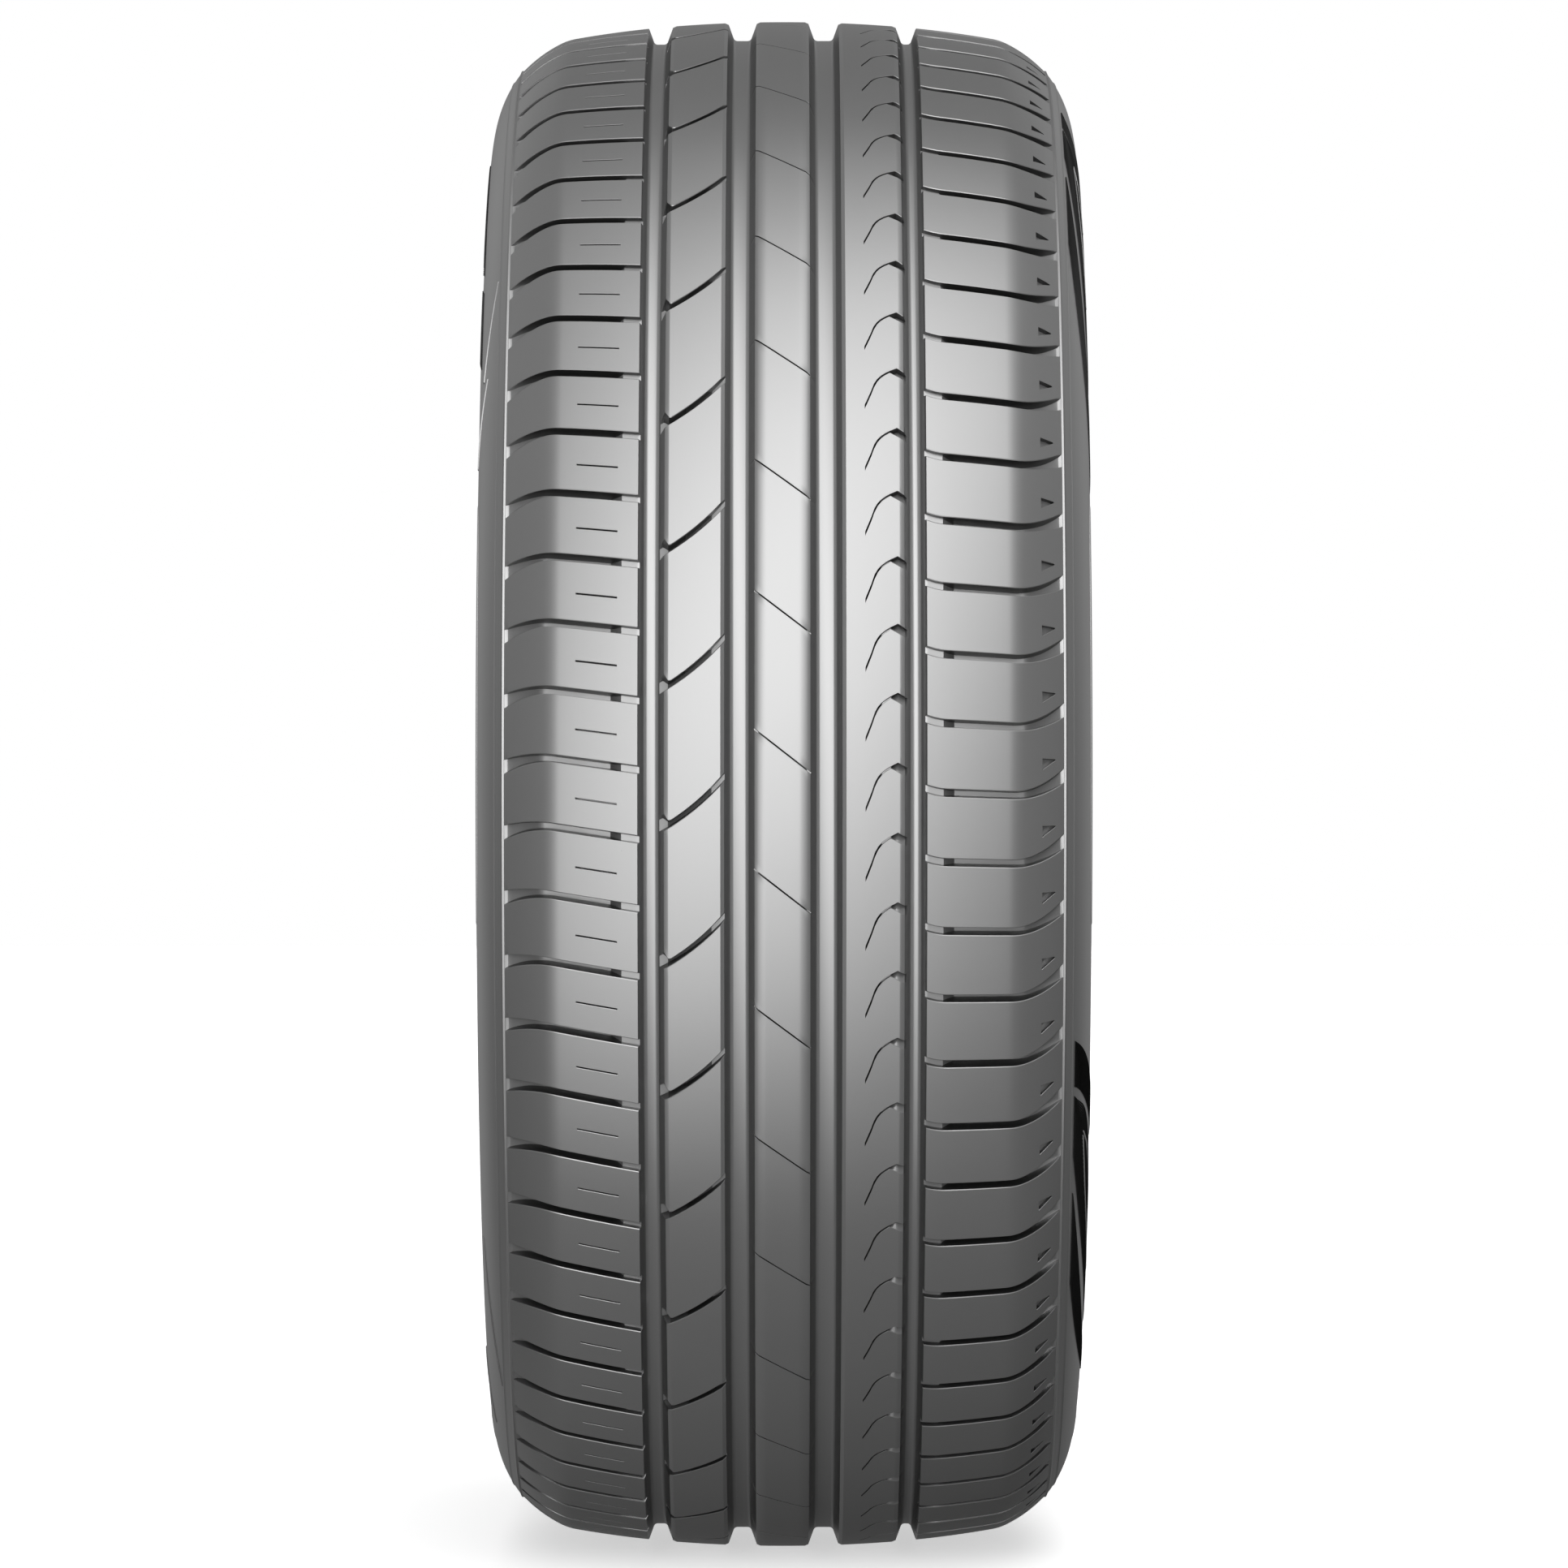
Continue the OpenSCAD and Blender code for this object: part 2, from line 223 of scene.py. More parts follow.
def cut(w, radius, centre, up, down, floor, foot_up, foot_down, lip=0.3):
    """Rows (arc, drop) of one cut; up and down are its half widths at the surface."""
    whole = np.maximum(crown(w) - floor, 1e-3)
    gone = np.clip((crown(w) - radius) / whole, 0, 0.98)
    drop = np.maximum(0, radius - floor)
    top_up = up + (foot_up - up) * gone
    top_down = down + (foot_down - down) * gone
    edge = np.minimum(lip * 0.8, drop * 0.5)
    flat = np.zeros_like(w)
    return [(centre - top_up - lip, flat), (centre - top_up, edge),
            (centre - foot_up, drop), (centre + foot_down, drop),
            (centre + top_down, edge), (centre + top_down + lip, flat)]


def between(last, first, count):
    """Rows of plain surface between two cuts."""
    shares = np.arange(1, count + 1) / (count + 1)
    return [(last[0] + (first[0] - last[0]) * s, np.zeros_like(last[0])) for s in shares]


def shifted(row, by):
    return (row[0] + by, row[1])


def past(u, start, end):
    return np.maximum(0, (u - start) / (end - start))


full_pitch = 2 * math.pi * crown_top / 37
half_pitch = full_pitch / 2
print(f"the pattern repeats every {full_pitch:.2f} mm, the shoulders every {half_pitch:.2f} mm")

# %% [markdown]
# The shoulders carry the car in bends. Each has 74 grooves that open over the tread's edge. A
# tie bar, a raised part of the floor, links the blocks beside the main groove. Then the floor
# ramps down, runs flat, and climbs to a narrow step at the mould's parting ledge. Towards the
# edge the groove gets wider and bends back in a curve that water can follow.

# %% Shoulder grooves
slot_width, slot_flare, slot_depth, slot_draft = 3.1, 2.9, 6.2, 0.6
tie_depth, tie_length, ramp_length = 1.8, 6.4, 4.3
bend_start, dip_at, dip_depth = 90.6, 96.0, 1.3
step_from, step_to, step_rise = 109.4, 110.75, 0.13


def shoulder_floor(u, edge):
    """Radius of a shoulder groove's floor."""
    tie_end, ramp_end = edge + tie_length, edge + tie_length + ramp_length
    halfway = (ramp_end + half_flat) / 2
    knots = [(edge - 6, crown(edge) - tie_depth), (edge, crown(edge) - tie_depth),
             (tie_end, crown(tie_end) - tie_depth), (ramp_end, crown(ramp_end) - slot_depth),
             (halfway, crown(halfway) - slot_depth), (half_flat, crown(half_flat) - slot_depth),
             (dip_at, crown(half_flat) - slot_depth - dip_depth),
             (step_from, edge_radius + step_rise), (step_to, edge_radius + step_rise),
             (step_to + 0.05, edge_radius + 0.2), (half_tread + 5, edge_radius + 5)]
    return np.interp(u, [k[0] for k in knots], [float(k[1]) for k in knots])


def shoulder_cut(w, radius, edge, lean, bend, hook, at):
    """Rows of a shoulder groove on either side of the tyre."""
    u = np.maximum(np.abs(w), edge - 1)
    s = past(np.minimum(u, half_tread), bend_start, half_tread)
    centre = (at + math.tan(math.radians(lean)) * (u - edge) + bend * s ** 2
              - hook * np.clip((edge + 8 - u) / 8, 0, 1.1) ** 2)
    half = (slot_width + slot_flare * s ** 1.8) / 2
    floor = shoulder_floor(np.abs(w), edge)
    foot = half - np.minimum(slot_draft, 0.14 * np.maximum(crown(w) - floor, 0) + 0.05)
    return cut(w, radius, centre, half, half, floor, foot, foot)


def shoulder_stations(side, edge, groove, extra):
    """Stations from the main groove's floor out over the ledge and back under the rib."""
    wall = groove_wall(side * edge, groove, plain_lip, (tie_depth - 0.05, tie_depth + 0.3, 4.5))
    tie_end, ramp_end = edge + tie_length, edge + tie_length + ramp_length
    us = np.concatenate([
        across((edge + 0.6, tie_end, 2), (tie_end, ramp_end, 3), (ramp_end, half_flat, 5),
               (half_flat, bend_end, 6), (bend_end, pair(step_from)[0], 7)),
        [*pair(step_from), *pair(step_to), half_tread], extra])
    us = np.unique(np.round(us, 4))
    skin = [(side * u, float(crown(u))) for u in us]
    under = groove_floors[groove] - undertread
    rest = [(side * (half_tread + 0.8), edge_radius),
            (side * (half_tread + 1.4), edge_radius - 1.4),
            (side * (half_tread - 0.6), edge_radius - 3.4),
            (side * 84, under - 5), (side * abs(groove_middles[groove]), under)]
    stations = wall + skin + rest
    if side < 0:
        stations = stations[::-1]
    return np.array(stations).T


# %% [markdown]
# The inside shoulder also has one short slit in each block, a thin blade of the mould that lets
# the block bend. It is 0.6 mm wide, black to its bottom, and stops inside the block. Two stations
# a few hundredths of a millimetre apart make the upright walls at its ends.

# %% Inside shoulder rib
slit_from, slit_to, slit_depth = 65.9, 82.3, 4.8
slit_at, slit_climb = 8.1, 2.3
w, radius = shoulder_stations(-1, -inside_edge, 0, [
    *pair(slit_from), 70, 74.1, 78.2, *pair(slit_to)])
groove_rows = shoulder_cut(w, radius, -inside_edge, lean=-8.1, bend=6.0, hook=0, at=-5.6)
u = np.abs(w)
slit_share = (np.clip(u, slit_from - 6, slit_to + 12) - slit_from) / (slit_to - slit_from)
slit_line = slit_at - slit_climb * slit_share
in_slit = (u > slit_from) & (u < slit_to)
slit_floor = crown(w) + np.where(in_slit, -slit_depth, no_cut)
slit_rows = cut(w, radius, slit_line, 0.3, 0.3, slit_floor, 0.24, 0.24, lip=0.15)
rows = (groove_rows + between(groove_rows[-1], slit_rows[0], 3) + slit_rows
        + between(slit_rows[-1], shifted(groove_rows[0], half_pitch), 4))
inside_shoulder = tread_ring("inside_shoulder", w, radius, rows, 74)

# %% [markdown]
# On the outside shoulder the grooves lean the other way, hook down beside the main groove and end
# in a longer curve. In the upper corner of each block, next to the ledge, sits a small pocket with
# three corners. It is 2.5 mm deep, so it looks black, and it tapers to a point at the ledge.

# %% Outside shoulder rib
pocket_from, pocket_to, pocket_depth = 102.1, 107.25, 2.5
w, radius = shoulder_stations(1, outside_edge, 3, [
    59.0, 62.0, *pair(pocket_from), 104.7, *pair(pocket_to)])
groove_rows = shoulder_cut(w, radius, outside_edge, lean=2.2, bend=-9.0, hook=1.3, at=3.3)
in_pocket = (w > pocket_from) & (w < pocket_to)
share = np.clip((w - pocket_from) / (pocket_to - pocket_from), 0, 1)
pocket_line = 19.6 - 1.9 * share
pocket_half = 2.3 - 2.05 * share
pocket_floor = crown(w) + np.where(in_pocket, -pocket_depth, no_cut)
pocket_rows = cut(w, radius, pocket_line, pocket_half, pocket_half,
                  pocket_floor, pocket_half - 0.1, pocket_half - 0.1, lip=0.12)
rows = (groove_rows + between(groove_rows[-1], pocket_rows[0], 4) + pocket_rows
        + between(pocket_rows[-1], shifted(groove_rows[0], half_pitch), 3))
outside_shoulder = tread_ring("outside_shoulder", w, radius, rows, 74)

# %% [markdown]
# The second rib is crossed by long curved slots, one in each full repeat. The slot falls away
# from the middle of the tyre: deep where it opens into the inside groove, shallow at the other
# end. The sharp block corner at its mouth would tear off, so the mould rounds it.

# %% Second rib
def rib_stations(rib, grooves, extra, left_depths=(), right_depths=()):
    """Stations across a rib with a main groove on both sides, and back under it."""
    left = groove_wall(rib[0], grooves[0], bevel, left_depths)
    right = groove_wall(rib[1], grooves[1], bevel, right_depths)[::-1]
    inner = np.unique(np.round(np.concatenate([
        across((rib[0], rib[1], 6))[1:], extra]), 4))
    skin = [(v, float(crown(v))) for v in inner if rib[0] < v < rib[1]]
    under = [(groove_middles[grooves[1]], groove_floors[grooves[1]] - undertread),
             (groove_middles[grooves[0]], groove_floors[grooves[0]] - undertread)]
    return np.array(left + skin + right + under).T


curve_radius, curve_start = 96.0, math.radians(29.5)
curve_from, curve_to = second_rib[0] - 3.5, second_rib[1] + 2.2
slot_at, slot_half, slot_deep, slot_shallow = 18.5, 1.05, 5.9, 1.3
w, radius = rib_stations(second_rib, (0, 1), [-45.5, -45, -44.6, -44.1, -43.2],
                         (2.2, 3.6, 5.0, 5.6, 5.9), (1.2, 1.7, 2.1))
along = np.clip(w, curve_from, curve_to)
reach = curve_radius * math.sin(curve_start) + along - curve_from
rise = np.sqrt(curve_radius ** 2 - reach ** 2)
slot_line = slot_at + rise - curve_radius * math.cos(curve_start)
half = slot_half * curve_radius / rise
corner = 4.6 * np.clip(past(-along, 44.1, 47.4), 0, 1.05) ** 2.6
slot_floor = np.interp(w, [curve_from, curve_to], [float(crown(second_rib[0])) - slot_deep,
                                                   float(crown(second_rib[1])) - slot_shallow])
slot_rows = cut(w, radius, slot_line, half + corner, half,
                slot_floor, half - 0.5 + 0.6 * corner, half - 0.5)
rows = slot_rows + between(slot_rows[-1], shifted(slot_rows[0], full_pitch), 15)
second = tread_ring("second_rib", w, radius, rows, 37)

# %% [markdown]
# The middle rib runs round without a break, so that the car tracks straight. Only a slanting sipe
# crosses it in each repeat: deep in the middle and shallow at both ends, where it meets the bevels.

# %% Middle rib
sipe_centre, sipe_at, sipe_slope = -0.6, -13.0, 0.78
deep_from, deep_to, sipe_deep, sipe_shallow = -6.4, 3.9, 5.5, 1.5
w, radius = rib_stations(middle_rib, (1, 2), [*pair(deep_from), *pair(deep_to)], (1.2,), (1.2,))
along = np.clip(w, middle_rib[0] - 1.9, middle_rib[1] + 1.5)
sipe_line = sipe_at + sipe_slope * (along - sipe_centre)
sipe_depth = np.where((w > deep_from) & (w < deep_to), sipe_deep, sipe_shallow)
sipe_half = 0.26 * math.hypot(1, sipe_slope)
sipe_rows = cut(w, radius, sipe_line, sipe_half, sipe_half, crown(w) - sipe_depth,
                sipe_half * 0.8, sipe_half * 0.8, lip=0.12)
rows = sipe_rows + between(sipe_rows[-1], shifted(sipe_rows[0], full_pitch), 15)
middle = tread_ring("middle_rib", w, radius, rows, 37)

# %% [markdown]
# The fourth rib has two hooked sipes in each repeat. Each starts inside the rib, climbs and turns
# over, and opens into a notch in the rib's outer edge. The notch is a slanting facet: level with
# the tread along its lower edge and deepest under its upper edge.

# %% Fourth rib
hook_w = [32.1, 33.3, 34.6, 35.8, 37.1, 38.5, 40.2, 42.1, 44.9, 47.9, 49.0]
hook_arc = [10.1, 7.1, 3.75, 0.2, -2.3, -4.0, -5.4, -6.6, -8.05, -6.45, -6.3]
notch_w, notch_arc = [42.1, 46.25, 47.9, 49.0], [-6.6, -4.2, -3.5, -3.3]
hook_from, hook_tip, hook_shallow = 32.1, 42.1, 38.5
notch_deep, notch_fall = 3.4, 1.28
w, radius = rib_stations(fourth_rib, (2, 3), hook_w[:8] + [
    *pair(hook_from), hook_shallow + 0.04, 39.3, 41.2, 42.6, 43.5, 44.4, 44.9, 45.5],
    right_depths=(1.4, 2.4, 3.3, 4.0))
along = np.clip(w, hook_from, hook_w[-1])
upper = np.interp(along, hook_w, hook_arc)
steepness = np.interp(along, hook_w, np.hypot(1, np.gradient(hook_arc, hook_w)))
sipe_open = 0.31 * np.minimum(steepness, 2.6)
in_notch = w > hook_tip
lower = np.where(in_notch, np.interp(along, notch_w, notch_arc), upper) + sipe_open
upper = upper - sipe_open
in_sipe = (w > hook_from) & (w <= hook_tip)
depth = np.where(in_sipe, np.where(w <= hook_shallow, sipe_deep, sipe_shallow), 0)
depth = np.where(in_notch, np.minimum(notch_deep, 0.5 + notch_fall * (lower - upper)), depth)
drop = np.maximum(0, depth - (crown(w) - radius))
flat = np.zeros_like(w)
hook_rows = [(upper - 0.15, flat), (upper, np.minimum(0.12, drop * 0.5)), (upper + 0.1, drop),
             (lower - 0.1, np.where(in_notch, 0.15 * (drop > 0), drop)),
             (lower, np.minimum(0.1, drop * 0.3)), (lower + 0.15, flat)]
rows = hook_rows + between(hook_rows[-1], shifted(hook_rows[0], half_pitch), 8)
fourth = tread_ring("fourth_rib", w, radius, rows, 74)

# %% [markdown]
# The casing is everything that the tread is moulded onto: the two sidewalls that flex, the rim
# protectors that stand proud of the flange, the beads that grip the rim, and the airtight liner
# inside. All of it is turned round the axle, so its section is drawn once and swept round.

# %% Casing section
widest_radius, wall_top = 273.0, (half_tread + 1.4, edge_radius - 1.4)
upper_bow = ((half_section - wall_top[0]) ** 2 + (wall_top[1] - widest_radius) ** 2) / (
    2 * (half_section - wall_top[0]))
protector_top, lower_inset = 253.5, 4.2
lower_bow = (lower_inset ** 2 + (widest_radius - protector_top) ** 2) / (2 * lower_inset)


def on_sidewall(level, lift=0.0):
    """(w, radius) on the outer sidewall at a level, raised by lift along the surface's normal."""
    rise = np.asarray(level) - widest_radius
    bow = np.where(rise > 0, upper_bow, lower_bow)
    lean = rise / bow
    face = np.sqrt(1 - lean ** 2)
    return half_section - bow * (1 - face) + lift * face, level + lift * lean


rings = ((300.4, 0.35, 0.3), (261.0, 0.4, 0.35), (257.5, 0.4, 0.35))


def ring_height(level):
    """Height of the raised circles: one at the top of the decoration and two above the rim."""
    return sum(high * np.clip(1.6 - np.abs(level - at) / half, 0, 1) for at, half, high in rings)


levels = np.unique(np.concatenate([np.linspace(protector_top, wall_top[1], 44), [
    at + step for at, _, _ in rings for step in (-0.7, -0.25, 0.25, 0.7)]]))
upper_w, upper_r = on_sidewall(levels, ring_height(levels))
bead = [(120.0, 252.9), (120.5, 252.2), (120.6, 251.2), (120.6, 247.8), (120.3, 246.6),
        (117.6, 244.1), (114.8, 242.9), (111.95, 242.1), (109.6, 241.5), (108.6, 240.6),
        (108.1, 238.4)]
heel = [(101.95 + 6 * math.cos(a), 236 - 6 * math.sin(a))
        for a in np.radians([0, 18, 36, 54, 72, 90])]
toe = [(96.0, 230.0), (89.2, 230.0), (88.55, 230.3), (88.1, 231.5), (91.0, 236.4), (96.0, 243.2),
       (99.95, 248.2)]
liner_half, liner_round, liner_corner = 114.5, 30.88, 83.62
knee = [(102.6, 252.3), (106.4, 257.0), (110.0, 261.8), (112.9, 267.0), (114.2, 270.6)]
dome = [(liner_corner + liner_round * math.cos(a), widest_radius + liner_round * math.sin(a))
        for a in np.radians(np.linspace(4, 90, 14))]
roof_radius = 311.0
roof = [(float(v), roof_radius - crown_top + float(crown(v)))
        for v in np.linspace(liner_corner - 4, 0, 10)]
half_outline = (list(zip(upper_w, upper_r))[::-1] + bead + heel + toe + knee + dome + roof)
crown_seat = [(0, groove_floors[1] - 0.9), (17.5, groove_floors[1] - 1.0),
              (34, groove_floors[0] - 0.4), (52, groove_floors[0] - 1.0),
              (70, 315.4), (84, 312.0), (96, 308.6), (106, 304.6), (111.0, 302.9)]
right = np.array(crown_seat + half_outline)
left = right[1:-1][::-1] * (-1, 1)
section = np.concatenate([right, left])
turn = np.arange(360)[:, None] * math.radians(1)
casing = weave("casing", place(section[None, :, 0], section[None, :, 1], turn))

# %% [markdown]
# A sidewall is never plain: its mould is engraved with panels that hide small dents in the wall,
# and with plates for marks. Each of them is a closed patch that follows the wall, raised by less
# than a millimetre, with its border sunk so that no gap shows. The ribs of a dark panel are real
# ridges, because a fine ridged surface traps light and looks darker than smooth rubber. On top of
# that their rubber is painted near black, a painted shade for the light that still finer ridges
# would trap.

# %% Raised patches on the sidewalls
patch_sink, patch_margin = 0.6, 0.2


def patch(name, side, grid, lift, ridge=0.0):
    """A closed patch on a sidewall; grid holds its turns and levels, both [row, column]."""
    turns, levels = (np.pad(values, ((0, 0), (1, 1)), "edge") for values in grid)
    levels[:, 0] -= patch_margin
    levels[:, -1] += patch_margin
    raised = np.full_like(levels, lift) + ridge * (np.arange(len(levels)) % 2)[:, None]
    raised[:, [0, -1]] = -patch_sink
    raised[[0, -1]] = -patch_sink
    w, radius = on_sidewall(levels, raised)
    points = place(side * w, radius, turns)
    return weave(name, points if side < 0 else points[:, ::-1], close_rows=False)


def strip(turns, low, high, columns=3, lean=0.0):
    """Turns and levels of a strip that runs round the wall between low and high."""
    shares = np.linspace(0, 1, columns)
    return turns[:, None] + lean * (shares - 0.5), low[:, None] + (high - low)[:, None] * shares


dark_patches, plain_patches = [], []
print("sidewall patches follow")

# %% [markdown]
# The outside of a tyre is the side that people see, so it gets the livelier decoration: four
# groups of three swept blades. The edges of a blade are drawn as places in degrees and level,
# and a smooth curve of the fourth order is fitted to them. Rows fan out between the two edges.

# %% Outside panels
blade_edges = (
    (((0, 299), (1, 292.7), (2.4, 287.3), (3.8, 282.5), (6, 277), (9, 271.5), (12.2, 266.5)),
     ((3.9, 299), (4.9, 293), (6.3, 287.2), (7.6, 282.3), (9.3, 277), (11, 271.5), (12.9, 266.5))),
    (((4.6, 299), (5.6, 293.3), (7.2, 287.3), (10, 282.5), (15.5, 277), (24, 271.5), (34, 266.5)),
     ((10, 299), (13.2, 296.5), (16.5, 293), (19.7, 289.6), (24, 285), (29, 279), (37, 266.5))),
    (((13.3, 299), (20, 293.5), (24.8, 289.8), (29.3, 285.7), (35, 280), (40, 274), (43.5, 268)),
     ((22.6, 299), (26.3, 296.8), (29, 293.7), (31.8, 290.7), (36, 285.5), (41, 277), (44.5, 268))))
raised_lines = (((8.4, 291), (10.2, 285.8), (13, 281.5), (16, 278.5)),
                ((8.6, 291), (14.3, 287.2), (18.5, 283.3), (26, 276)))
group_start, group_step, blade_rows, blade_columns = -70.0, 90.0, 90, 20
middle_level, narrowest = 280, 0.2


def smooth_edge(edge, levels):
    """Degrees along an edge at the given levels, on a curve of the fourth order."""
    degrees, at = np.array(edge, float).T
    return np.polyval(np.polyfit(at - middle_level, degrees, 4), levels - middle_level)


def blade(start, edges):
    """Turns and levels of a swept blade between its upper and its lower edge."""
    levels = np.linspace(edges[0][-1][1], edges[0][0][1], blade_columns)
    first, last = (smooth_edge(edge, levels) for edge in edges)
    shares = np.linspace(0, 1, blade_rows)[:, None]
    turns = np.radians(start + first + np.maximum(last - first, narrowest) * shares)
    return turns, np.broadcast_to(levels, turns.shape)


for quarter in range(4):
    start = group_start + group_step * quarter
    for number, edges in enumerate(blade_edges):
        dark_patches.append(patch(f"outside_blade_{quarter}{number}", 1,
                                  blade(start, edges), 0.1, ridge=0.3))
    for number, places in enumerate(raised_lines):
        degrees, level = zip(*places)
        turns = np.linspace(degrees[0], degrees[-1], 40)
        line = np.interp(turns, degrees, level)
        plain_patches.append(patch(f"outside_line_{quarter}{number}", 1,
                                   strip(np.radians(start + turns), line, line + 0.8), 0.55))

# %% [markdown]
# The inside is plainer, since nobody sees it once the wheel is on. A few slanting bars carry the
# same fine ridges, and thin raised lines run between them. Both are repeated half a turn on.

# %% Inside panels
ridge_pitch, bar_foot, bar_height, bar_lean = math.radians(0.26), 269.5, 12.5, math.radians(3.5)
bars = ((-64, -57), (-55, -49), (-47, -38), (112, 119), (121, 130))
slanting_lines = ((-43, -34, 299.0, 287.0), (-34, -27, 292.0, 276.0),
                  (40, 56, 283.0, 299.0), (57, 66, 276.0, 291.0))
for half_turn in (0, 1):
    base = half_turn * math.pi
    for number, (start, end) in enumerate(bars):
        turns = np.arange(math.radians(start), math.radians(end), ridge_pitch / 2)
        foot = np.full(len(turns), bar_foot)
        dark_patches.append(patch(f"inside_patch_{half_turn}{number}", -1, strip(
            turns + base, foot, foot + bar_height, 6, bar_lean), 0.1, ridge=0.35))
    for number, (start, end, low, high) in enumerate(slanting_lines):
        turns = np.linspace(math.radians(start), math.radians(end), 40)
        line = np.linspace(low, high, 40)
        plain_patches.append(patch(f"inside_line_{half_turn}{number}", -1,
                                   strip(turns + base, line, line + 0.9), 0.4))

# %% [markdown]
# Between the panels each wall has four plates, where a maker would put marks. They stay bare: a
# plate stands out by a fifth of a millimetre and narrows a little at both ends.

# %% Bare plates
plate_low, plate_high, plate_lift, plate_rows = 266.5, 281.5, 0.2, 90
plate_taper = 3.0 * np.abs(np.linspace(-1, 1, plate_rows)) ** 6
for side, label in ((1, "outside"), (-1, "inside")):
    for number, (start, end) in enumerate(((-24, 12), (72, 98), (156, 192), (252, 278))):
        turns = np.linspace(math.radians(start), math.radians(end), plate_rows)
        plain_patches.append(patch(f"{label}_plate_{number}", side, strip(
            turns, plate_low + plate_taper, plate_high - plate_taper, 8), plate_lift))

# %% [markdown]
# Moulded rubber is a dull black that reads grey in strong light. Its sheen is broad and soft. A
# very fine grain from the mould breaks it up, and a faint mottling shows where the release agent
# lay thicker. Several finishes share that grain, so it is a node group with its own inputs.

# %% Grain group
def socket(group, name, direction, kind, value=None):
    made = group.interface.new_socket(name=name, in_out=direction, socket_type=kind)
    if value is not None:
        made.default_value = value


grain = bpy.data.node_groups.new("mould grain", "ShaderNodeTree")
socket(grain, "Colour", "INPUT", "NodeSocketColor", (0.2, 0.2, 0.2, 1))
socket(grain, "Mottling", "INPUT", "NodeSocketFloat", 0.1)
socket(grain, "Base Roughness", "INPUT", "NodeSocketFloat", 0.4)
socket(grain, "Grain Size", "INPUT", "NodeSocketFloat", 1500.0)
socket(grain, "Colour", "OUTPUT", "NodeSocketColor")
socket(grain, "Roughness", "OUTPUT", "NodeSocketFloat")
socket(grain, "Height", "OUTPUT", "NodeSocketFloat")


def node(tree, kind, **inputs):
    """A node of the given kind with some of its inputs set by name."""
    made = tree.nodes.new(kind)
    for name, value in inputs.items():
        made.inputs[name.replace("_", " ")].default_value = value
    return made


def calculate(tree, operation, *values):
    """A math node on numbers or sockets; gives its output socket."""
    made = tree.nodes.new("ShaderNodeMath")
    made.operation = operation
    for slot, value in zip(made.inputs, values):
        if isinstance(value, (int, float)):
            slot.default_value = value
        else:
            tree.links.new(value, slot)
    return made.outputs[0]


def fill_grain(tree):
    """The group's inside: grain from a fine noise, mottling from a coarse and a medium one."""
    link = tree.links.new
    entry, result = tree.nodes.new("NodeGroupInput"), tree.nodes.new("NodeGroupOutput")
    where = tree.nodes.new("ShaderNodeTexCoord")
    fine = node(tree, "ShaderNodeTexNoise", Detail=2.0, Roughness=0.6)
    cloud = node(tree, "ShaderNodeTexNoise", Scale=28.0, Detail=5.0, Roughness=0.6)
    spots = node(tree, "ShaderNodeTexNoise", Scale=260.0, Detail=3.0, Roughness=0.5)
    for noise in (fine, cloud, spots):
        link(where.outputs["Object"], noise.inputs["Vector"])
    link(entry.outputs["Grain Size"], fine.inputs["Scale"])
    both = calculate(tree, "ADD", cloud.outputs["Fac"], spots.outputs["Fac"])
    centred = calculate(tree, "SUBTRACT", both, 1.0)
    swing = calculate(tree, "MULTIPLY_ADD", centred, entry.outputs["Mottling"], 1.0)
    tint = tree.nodes.new("ShaderNodeVectorMath")
    tint.operation = "SCALE"
    link(entry.outputs["Colour"], tint.inputs[0])
    link(swing, tint.inputs["Scale"])
    link(tint.outputs[0], result.inputs["Colour"])
    link(calculate(tree, "MULTIPLY", entry.outputs["Base Roughness"], swing),
         result.inputs["Roughness"])
    link(fine.outputs["Fac"], result.inputs["Height"])


fill_grain(grain)
print("group", grain.name, "has", len(grain.nodes), "nodes")

# %% [markdown]
# The walls of the cuts are painted darker than the tread: a painted shade, since hardly any light
# gets down there. Painting them by hand would take long. Instead a mask compares the surface's own
# direction with the way out from the axle: where they agree the rubber is outside, where they don't
# it is a wall and gets the painted shade. It stays put on the tyre from any side.

# %% Mask that paints shade on the walls
def facing_out(tree, painted_shade_on_walls, outside):
    """Painted shade: outside where the surface faces away from the axle, painted_shade_on_walls
    inside the grooves.
    """
    where = tree.nodes.new("ShaderNodeTexCoord")
    flat = tree.nodes.new("ShaderNodeVectorMath")
    flat.operation = "MULTIPLY"
    flat.inputs[1].default_value = (1, 0, 1)
    outward = tree.nodes.new("ShaderNodeVectorMath")
    outward.operation = "NORMALIZE"
    facing = tree.nodes.new("ShaderNodeVectorMath")
    facing.operation = "DOT_PRODUCT"
    mask = node(tree, "ShaderNodeMapRange", From_Min=0.3, From_Max=0.72,
                To_Min=painted_shade_on_walls, To_Max=outside)
    mask.interpolation_type = "SMOOTHSTEP"
    tree.links.new(where.outputs["Object"], flat.inputs[0])
    tree.links.new(flat.outputs[0], outward.inputs[0])
    tree.links.new(outward.outputs[0], facing.inputs[0])
    tree.links.new(tree.nodes.new("ShaderNodeNewGeometry").outputs["Normal"], facing.inputs[1])
    tree.links.new(facing.outputs["Value"], mask.inputs["Value"])
    return mask.outputs["Result"]


print("the mask works on directions, so it needs no picture and no seams")

# %% [markdown]
# Each finish is one Principled shader fed by the grain. The numbers that are the same all over a
# finish are set on the shader's own sockets. Four are enough: the tread with painted shade on its
# walls, the sidewall, the ridged panels painted near black as painted shade, and a nearly black
# painted shade for the rubber deep in the narrow cuts, where the mask alone would leave it too
# light.

# %% Rubber finishes
mottling, grain_relief, grain_size = 0.05, 0.006, 1500.0


